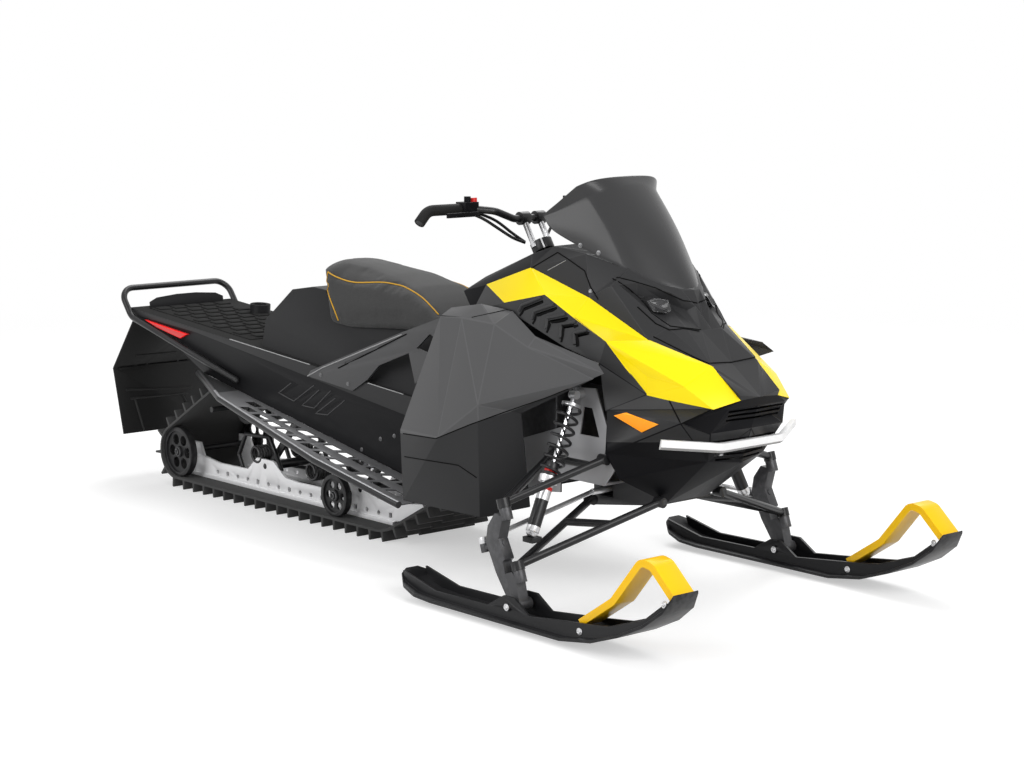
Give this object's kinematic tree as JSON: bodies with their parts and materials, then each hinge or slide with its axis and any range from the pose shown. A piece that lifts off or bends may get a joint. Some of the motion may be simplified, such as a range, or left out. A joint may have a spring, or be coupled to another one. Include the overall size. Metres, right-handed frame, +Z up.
{
  "type": "snowmobile",
  "caption": "Sport snowmobile with steered skis, lugged track under a long tunnel, faceted cowl, smoked windshield, single saddle and hooked handlebar",
  "frame": {"origin": "on the ground under the middle of the machine's box", "axes": "+X forward over the skis, +Y to the rider's left, +Z up"},
  "size_m": [3.273, 1.215, 1.2033],
  "materials": {
    "tunnel": "satin dark grey powder coat",
    "board": "bare stamped sheet",
    "black_tube": "gloss black powder coat",
    "flap": "moulded matt rubber",
    "red_lens": "red lens",
    "seat_plastic": "moulded black",
    "seat_vinyl": "charcoal vinyl",
    "black_plastic": "moulded black",
    "lens": "clear lens",
    "smoke": "dark smoke screen",
    "white_tube": "white powder coat",
    "amber": "amber reflector",
    "grey_metal": "cast and folded grey",
    "engine": "plain block",
    "steel": "zinc plated",
    "spring": "black coil",
    "rubber": "moulded rubber",
    "track_rubber": "moulded track rubber",
    "wheel": "moulded wheel",
    "rail": "clear anodised",
    "yellow": "bright yellow",
    "grey_panel": "satin grey",
    "ski_plastic": "moulded black",
    "spindle_metal": "forged grey"
  },
  "bodies": {
    "chassis": {"belly_pan": "black_plastic", "bogie_wheels": "wheel", "console": "black_plastic", "drive_axle": "wheel", "engine_block": "engine", "front_bumper": "white_tube", "front_frame": "grey_metal", "front_shocks": "steel", "front_springs": "spring", "headlights": "lens", "hood": "black_plastic", "lower_arms": "black_tube", "nose_fascia": "black_plastic", "rear_bumper": "black_tube", "rear_idlers": "wheel", "running_boards": "board", "seat_base": "seat_plastic", "seat_cushion": "seat_vinyl", "side_braces": "grey_metal", "side_panels": "grey_panel", "side_reflectors": "amber", "skid_arms": "black_tube", "skid_shock": "steel", "slide_rails": "rail", "snow_flap": "flap", "tail_lamps": "red_lens", "top_wheels": "wheel", "track": "track_rubber", "tunnel": "tunnel", "upper_arms": "black_tube", "upper_panels": "yellow", "vent_panels": "black_plastic", "windshield": "smoke"},
    "handlebar": {"handlebar": "black_tube", "hand_grips": "rubber", "bar_controls": "black_plastic"},
    "tie_rods": {"tie_rods": "steel"},
    "spindle_left": {"spindle_left": "spindle_metal"},
    "ski_left": {"ski_left": "ski_plastic", "wear_bar_left": "steel", "ski_loop_left": "yellow"},
    "spindle_right": {"spindle_right": "spindle_metal"},
    "ski_right": {"ski_right": "ski_plastic", "wear_bar_right": "steel", "ski_loop_right": "yellow"}
  },
  "joints": [
    {"name": "handlebar_steer", "type": "hinge", "parent": "chassis", "child": "handlebar", "pos_m": [0.4985, 0, 0.972], "axis": [-0.5309, 0, 0.8474], "range_deg": [-35, 35]},
    {"name": "ski_steer_left", "type": "hinge", "parent": "chassis", "child": "spindle_left", "pos_m": [0.9955, 0.535, 0.165], "axis": [-0.3316, 0, 0.9434], "range_deg": [-28.2, 28.2]},
    {"name": "ski_steer_right", "type": "hinge", "parent": "chassis", "child": "spindle_right", "pos_m": [0.9955, -0.535, 0.165], "axis": [-0.3316, 0, 0.9434], "range_deg": [-28.2, 28.2]},
    {"name": "tie_rod_slide", "type": "slide", "parent": "chassis", "child": "tie_rods", "axis": [0, 1, 0], "range_m": [-0.0568, 0.0568]},
    {"name": "ski_pitch_left", "type": "hinge", "parent": "spindle_left", "child": "ski_left", "pos_m": [1.0095, 0.535, 0.06], "axis": [0, 1, 0], "range_deg": [-18, 10]},
    {"name": "ski_pitch_right", "type": "hinge", "parent": "spindle_right", "child": "ski_right", "pos_m": [1.0095, -0.535, 0.06], "axis": [0, 1, 0], "range_deg": [-18, 10]}
  ],
  "couplings": [
    {"joint": "ski_steer_left", "follows": "handlebar_steer", "ratio": 0.8},
    {"joint": "ski_steer_right", "follows": "handlebar_steer", "ratio": 0.8},
    {"joint": "tie_rod_slide", "follows": "handlebar_steer", "m_per_rad": -0.092224}
  ]
}
